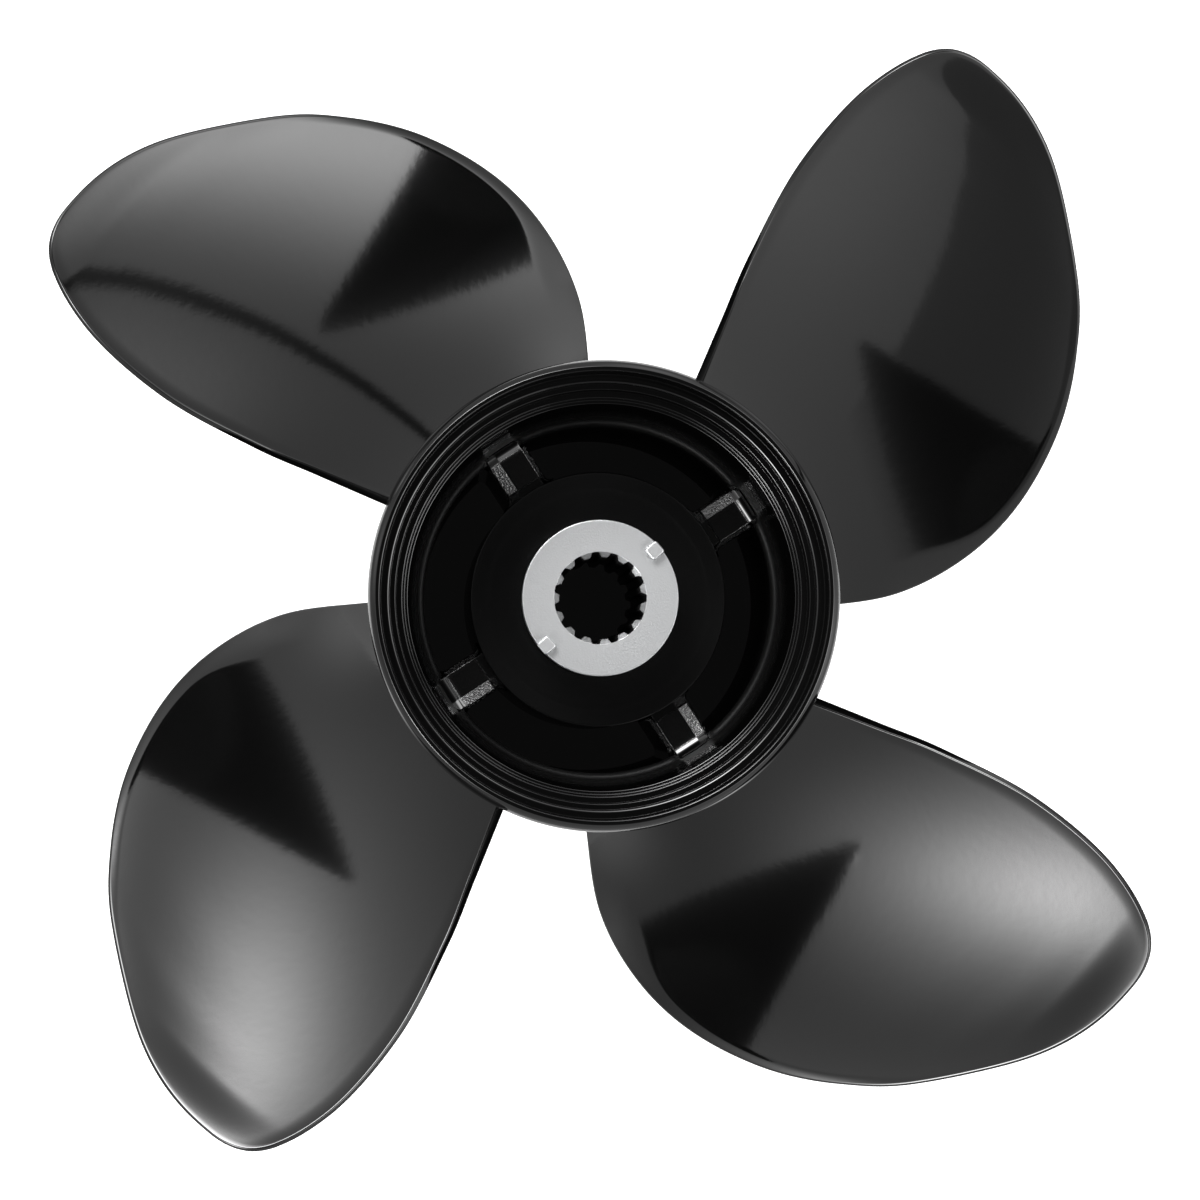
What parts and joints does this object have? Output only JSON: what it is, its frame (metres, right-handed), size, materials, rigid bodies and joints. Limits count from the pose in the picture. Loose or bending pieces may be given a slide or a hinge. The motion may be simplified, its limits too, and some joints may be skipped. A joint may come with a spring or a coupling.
{
  "type": "outboard boat propeller",
  "caption": "Right-hand through-hub-exhaust boat propeller: swept raked blades on a barrel hub, ribs round the inner hub, rubber bush and splined steel sleeve.",
  "frame": {"origin": "on the shaft axis, in the plane of the hub's front rim, on which the propeller stands", "axes": "+Z along the shaft axis towards the aft rim; a blade's generator line stands 33 degrees round from +X"},
  "size_m": [0.3062, 0.3062, 0.1715],
  "materials": {
    "enamel": "gloss",
    "rubber": "matte",
    "sleeve": "satin"
  },
  "bodies": {
    "root": {"hub_barrel": "enamel", "inner_hub": "enamel", "rib_1": "enamel", "rib_2": "enamel", "rib_3": "enamel", "rib_4": "enamel", "blade_1": "enamel", "blade_2": "enamel", "blade_3": "enamel", "blade_4": "enamel", "rubber_bush": "rubber", "spline_sleeve": "sleeve", "lock_lug_1": "sleeve", "lock_lug_2": "sleeve"}
  },
  "joints": []
}
